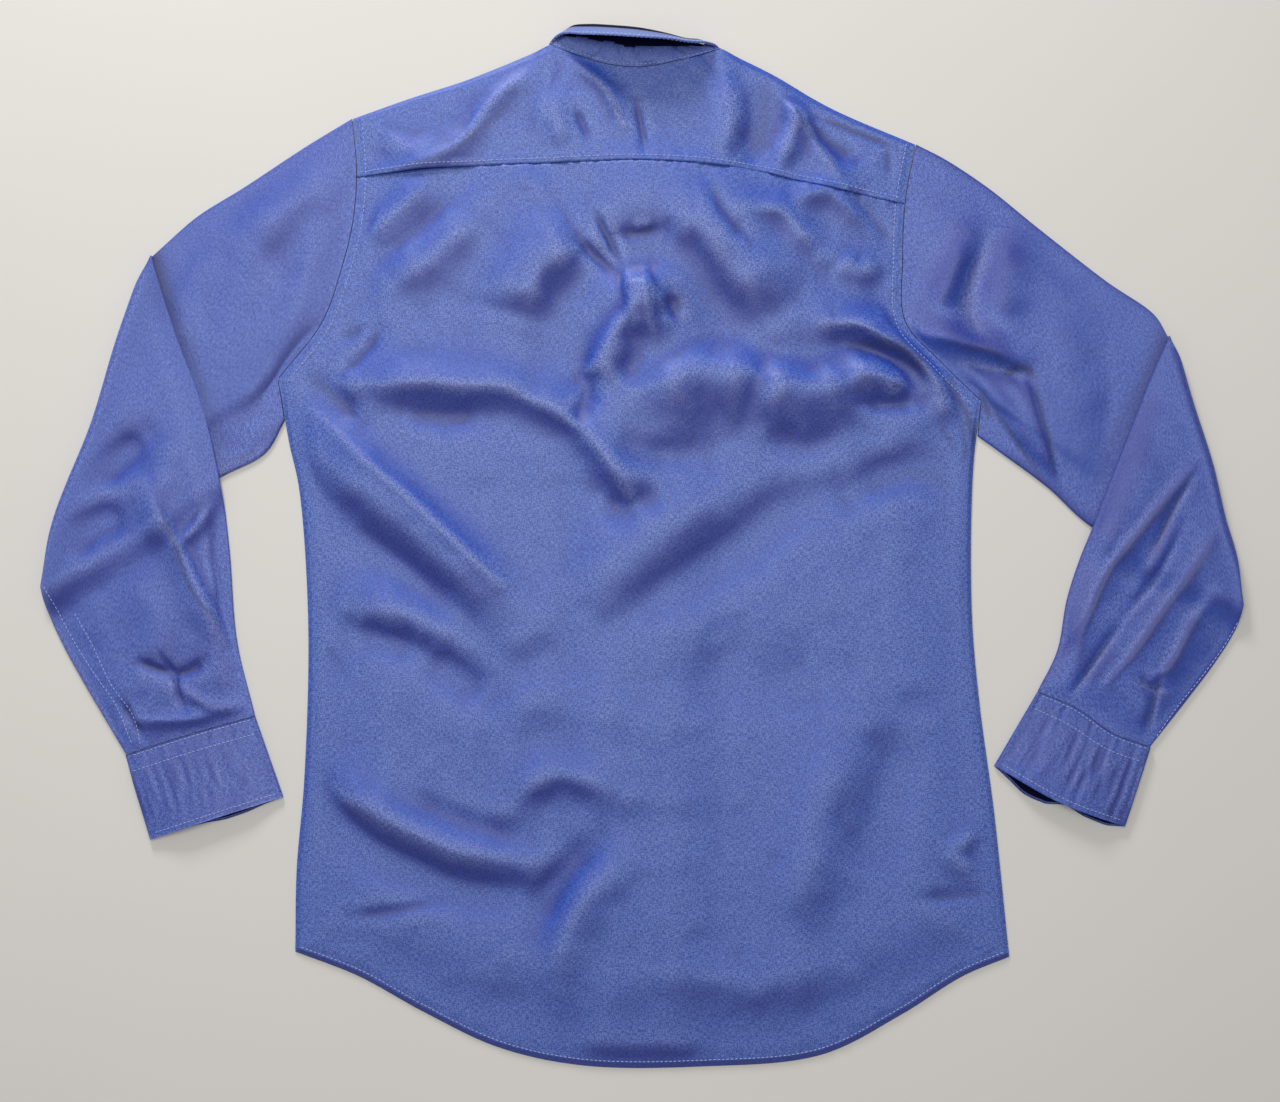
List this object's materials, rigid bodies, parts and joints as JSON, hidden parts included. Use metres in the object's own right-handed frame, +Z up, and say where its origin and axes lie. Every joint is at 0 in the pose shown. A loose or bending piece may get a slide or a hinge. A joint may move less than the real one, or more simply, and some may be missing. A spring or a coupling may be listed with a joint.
{
  "type": "folded oxford shirt",
  "caption": "Long-sleeved oxford shirt lying flat with its back up, its collar standing open and each sleeve folded over once on a slanting crease.",
  "frame": {"origin": "on the surface the shirt lies on, under the middle of its outline", "axes": "+X across the shirt towards the wearer's right side, +Y from the hem to the collar, +Z up from the surface through the fronts to the back"},
  "size_m": [0.9296, 0.8072, 0.0373],
  "materials": {
    "body_cloth": "soft cotton oxford weave, mid blue with pale threads",
    "sleeve_cloth": "soft cotton oxford weave, slightly deeper blue",
    "collar_cloth": "lined cotton oxford weave with a light topstitched edge",
    "buttons": "pearly off-white, glossy"
  },
  "bodies": {
    "root": {"back": "body_cloth", "yoke": "body_cloth", "front_left": "body_cloth", "front_right": "body_cloth", "placket": "body_cloth", "sleeve_left": "sleeve_cloth", "cuff_left": "sleeve_cloth", "cuff_button_left": "buttons", "sleeve_right": "sleeve_cloth", "cuff_right": "sleeve_cloth", "cuff_button_right": "buttons", "collar_stand": "collar_cloth", "collar_leaf": "collar_cloth", "collar_button": "buttons", "placket_button_1": "buttons", "placket_button_2": "buttons", "placket_button_3": "buttons", "placket_button_4": "buttons", "placket_button_5": "buttons", "placket_button_6": "buttons"}
  },
  "joints": []
}
